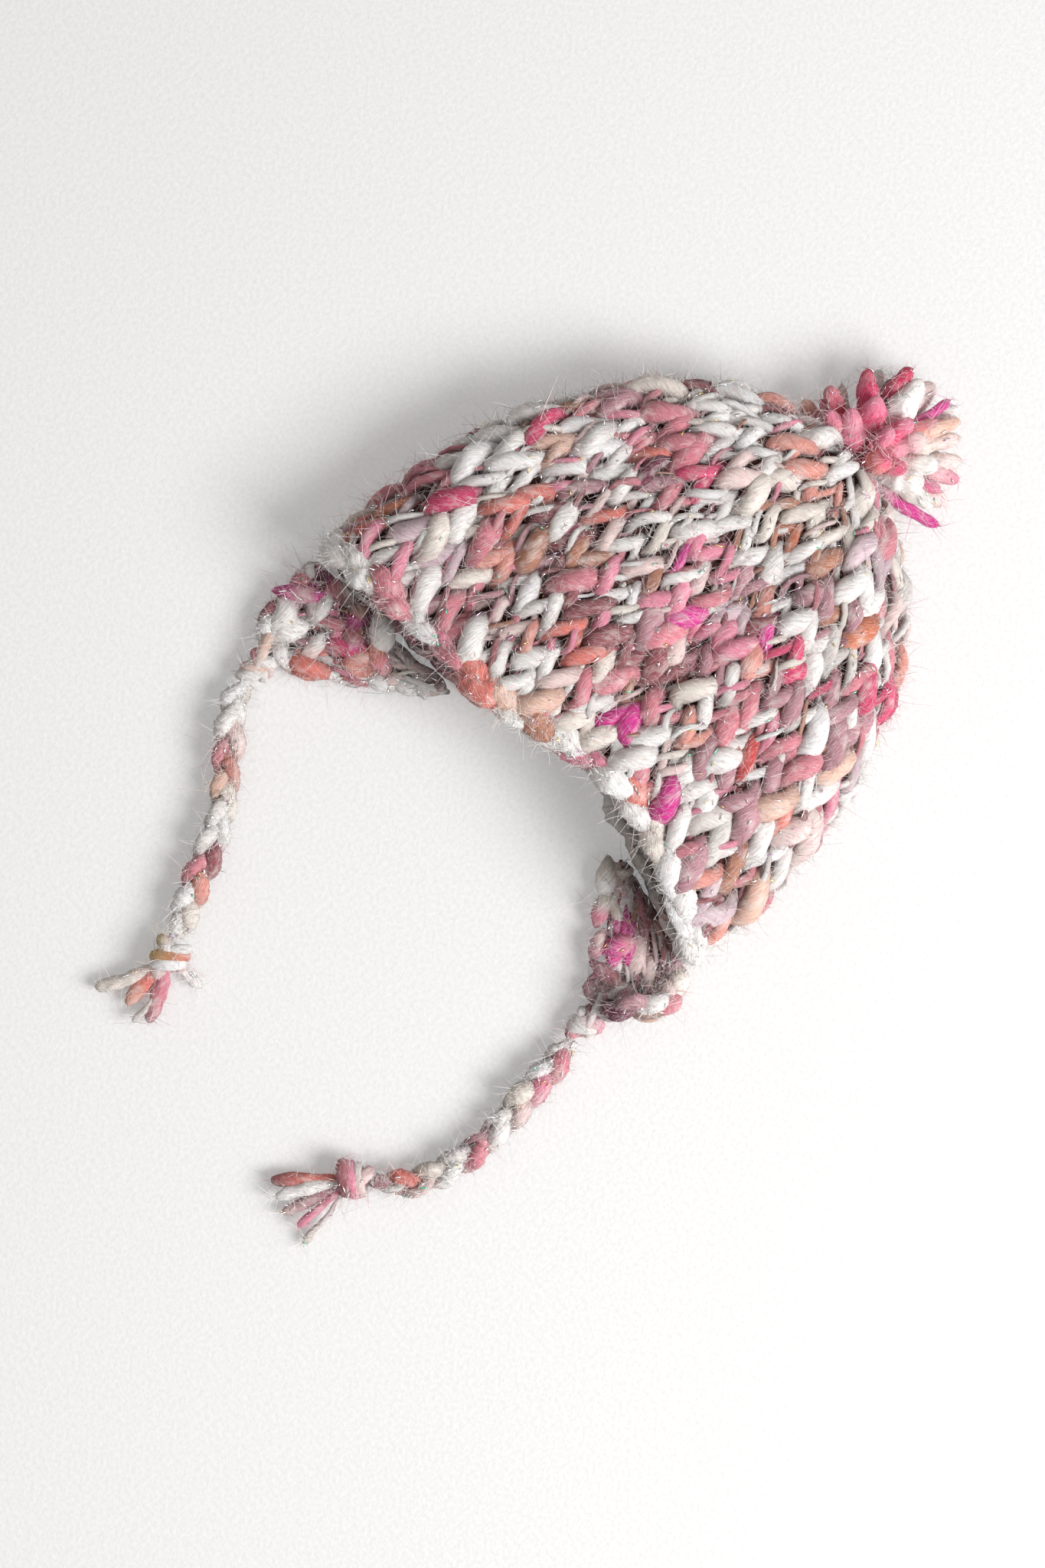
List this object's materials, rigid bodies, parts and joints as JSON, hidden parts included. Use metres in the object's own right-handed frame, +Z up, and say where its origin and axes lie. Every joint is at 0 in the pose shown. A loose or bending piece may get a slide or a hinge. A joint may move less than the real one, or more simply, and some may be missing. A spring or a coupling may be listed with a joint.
{
  "type": "pom pom beanie",
  "caption": "Knitted baby beanie with ear flaps, braided ties that end in tassels, and a pom pom on the crown, lying flat on its back.",
  "frame": {"origin": "on the flat underside, under the middle of the body, where the hat rests on the table", "axes": "+Z up from the table, -Z out of the underside, +Y from the brim to the crown and pom pom, +X to the right with the hat's front up and its crown away from the viewer"},
  "size_m": [0.2041, 0.3648, 0.0506],
  "materials": {
    "body_yarn": "matt brushed wool in cream, rose, salmon, tan and magenta, with a few glitter threads",
    "edging_yarn": "matt brushed wool, mostly white and peach",
    "gather_yarn": "matt brushed wool, dusty rose",
    "flap_yarn": "matt brushed wool in white, rose, tan and magenta, with glitter",
    "pompom_yarn": "plump unspun wool in coral, hot pink, rose and white",
    "tie_yarn": "matt brushed wool, three plies braided",
    "tassel_yarn": "loose wool ends in coral, pink, rose and white"
  },
  "bodies": {
    "hat": {"knit_body": "body_yarn", "brim_edging": "edging_yarn", "crown_gather": "gather_yarn", "pompom_anchor_knot": "body_yarn"},
    "left_flap": {"left_ear_flap": "flap_yarn"},
    "right_flap": {"right_ear_flap": "flap_yarn"},
    "left_tie_loop": {"left_tie_loop": "tie_yarn"},
    "left_tie": {"left_tie_braid": "tie_yarn", "left_tie_knot": "tie_yarn", "left_tassel_end_1": "tassel_yarn", "left_tassel_end_2": "tassel_yarn", "left_tassel_end_3": "tassel_yarn", "left_tassel_end_4": "tassel_yarn", "left_tassel_end_5": "tassel_yarn"},
    "right_tie_loop": {"right_tie_loop": "tie_yarn"},
    "right_tie": {"right_tie_braid": "tie_yarn", "right_tie_knot": "tie_yarn", "right_tassel_end_1": "tassel_yarn", "right_tassel_end_2": "tassel_yarn", "right_tassel_end_3": "tassel_yarn", "right_tassel_end_4": "tassel_yarn", "right_tassel_end_5": "tassel_yarn"},
    "pompom_neck": {"pompom_binding": "gather_yarn"},
    "pompom": {"pompom_strand_01": "pompom_yarn", "pompom_strand_02": "pompom_yarn", "pompom_strand_03": "pompom_yarn", "pompom_strand_04": "pompom_yarn", "pompom_strand_05": "pompom_yarn", "pompom_strand_06": "pompom_yarn", "pompom_strand_07": "pompom_yarn", "pompom_strand_08": "pompom_yarn", "pompom_strand_09": "pompom_yarn", "pompom_strand_10": "pompom_yarn", "pompom_strand_11": "pompom_yarn", "pompom_strand_12": "pompom_yarn", "pompom_strand_13": "pompom_yarn", "pompom_strand_14": "pompom_yarn", "pompom_strand_15": "pompom_yarn", "pompom_strand_16": "pompom_yarn"}
  },
  "joints": [
    {"name": "left_flap_fold", "type": "hinge", "parent": "hat", "child": "left_flap", "pos_m": [-0.064, -0.08933, 0.00525], "axis": [-0.9944, -0.1052, 0], "range_deg": [0, 80]},
    {"name": "right_flap_fold", "type": "hinge", "parent": "hat", "child": "right_flap", "pos_m": [0.073, -0.08256, 0.0045], "axis": [-0.9816, 0.1908, 0], "range_deg": [0, 35]},
    {"name": "left_tie_swing", "type": "hinge", "parent": "left_flap", "child": "left_tie_loop", "pos_m": [-0.082, -0.12841, 0.006], "axis": [0, 0, 1], "range_deg": [-25, 25]},
    {"name": "left_tie_lift", "type": "hinge", "parent": "left_tie_loop", "child": "left_tie", "pos_m": [-0.082, -0.12841, 0.006], "axis": [-0.8427, -0.5384, 0], "range_deg": [0, 60]},
    {"name": "right_tie_swing", "type": "hinge", "parent": "right_flap", "child": "right_tie_loop", "pos_m": [0.0885, -0.12386, 0.006], "axis": [0, 0, 1], "range_deg": [-25, 25]},
    {"name": "right_tie_lift", "type": "hinge", "parent": "right_tie_loop", "child": "right_tie", "pos_m": [0.0885, -0.12386, 0.006], "axis": [-0.9914, 0.1307, 0], "range_deg": [0, 60]},
    {"name": "pompom_swing", "type": "hinge", "parent": "hat", "child": "pompom_neck", "pos_m": [0.0021, 0.0764, 0.015], "axis": [0, 0, 1], "range_deg": [-8, 8]},
    {"name": "pompom_nod", "type": "hinge", "parent": "pompom_neck", "child": "pompom", "pos_m": [0.0021, 0.0764, 0.015], "axis": [1, 0, 0], "range_deg": [0, 25]}
  ]
}
